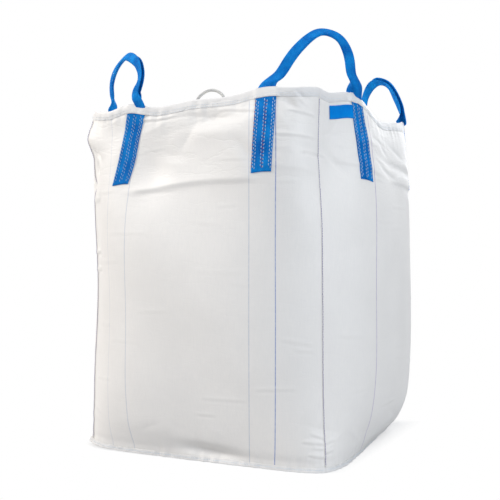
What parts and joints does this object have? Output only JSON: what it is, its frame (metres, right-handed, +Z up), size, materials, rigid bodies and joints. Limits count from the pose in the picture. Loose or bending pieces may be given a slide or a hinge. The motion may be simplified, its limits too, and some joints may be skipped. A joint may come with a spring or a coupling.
{
  "type": "bulk bag",
  "caption": "Square bulk bag of woven cloth with a tied filling spout and webbing lifting loops across its corners.",
  "frame": {"origin": "middle of the base on the floor", "axes": "+Z up, front panel towards -Y, right panel towards +X"},
  "size_m": [1.0736, 1.0736, 1.405],
  "materials": {
    "body_cloth": "woven polypropylene, warm white, satin coating",
    "top_cloth": "lighter woven polypropylene, warm white",
    "hem_cloth": "folded woven polypropylene tape, white",
    "webbing": "blue polypropylene webbing with white stitching",
    "tag": "plain blue woven tag, blank",
    "thread": "purple-grey sewing thread",
    "cord": "grey-white braided polypropylene cord"
  },
  "bodies": {
    "bag": {"base_panel": "body_cloth", "front_panel": "body_cloth", "right_panel": "body_cloth", "back_panel": "body_cloth", "left_panel": "body_cloth", "base_seam_front": "body_cloth", "base_seam_right": "body_cloth", "base_seam_back": "body_cloth", "base_seam_left": "body_cloth", "hem_front": "hem_cloth", "hem_right": "hem_cloth", "hem_back": "hem_cloth", "hem_left": "hem_cloth", "corner_seam_front": "thread", "corner_seam_right": "thread", "corner_seam_back": "thread", "corner_seam_left": "thread", "top_panel": "top_cloth", "filling_spout": "top_cloth", "tie_wraps": "cord", "tie_cord": "cord", "tie_knot": "cord", "blank_tag": "tag", "front_loop_leg_a": "webbing", "front_loop_leg_b": "webbing", "right_loop_leg_a": "webbing", "right_loop_leg_b": "webbing", "back_loop_leg_a": "webbing", "back_loop_leg_b": "webbing", "left_loop_leg_a": "webbing", "left_loop_leg_b": "webbing"},
    "front_loop": {"front_loop": "webbing"},
    "right_loop": {"right_loop": "webbing"},
    "back_loop": {"back_loop": "webbing"},
    "left_loop": {"left_loop": "webbing"}
  },
  "joints": [
    {"name": "front_loop_swing", "type": "hinge", "parent": "bag", "child": "front_loop", "pos_m": [0.37323, -0.35202, 1.275], "axis": [0.7071, 0.7071, 0], "range_deg": [-135, 105]},
    {"name": "right_loop_swing", "type": "hinge", "parent": "bag", "child": "right_loop", "pos_m": [0.36899, 0.35626, 1.275], "axis": [-0.7071, 0.7071, 0], "range_deg": [-135, 105]},
    {"name": "back_loop_swing", "type": "hinge", "parent": "bag", "child": "back_loop", "pos_m": [-0.36263, 0.36263, 1.275], "axis": [-0.7071, -0.7071, 0], "range_deg": [-203, 37]},
    {"name": "left_loop_swing", "type": "hinge", "parent": "bag", "child": "left_loop", "pos_m": [-0.35697, -0.35697, 1.275], "axis": [0.8087, -0.5883, 0], "range_deg": [-135, 90]}
  ]
}
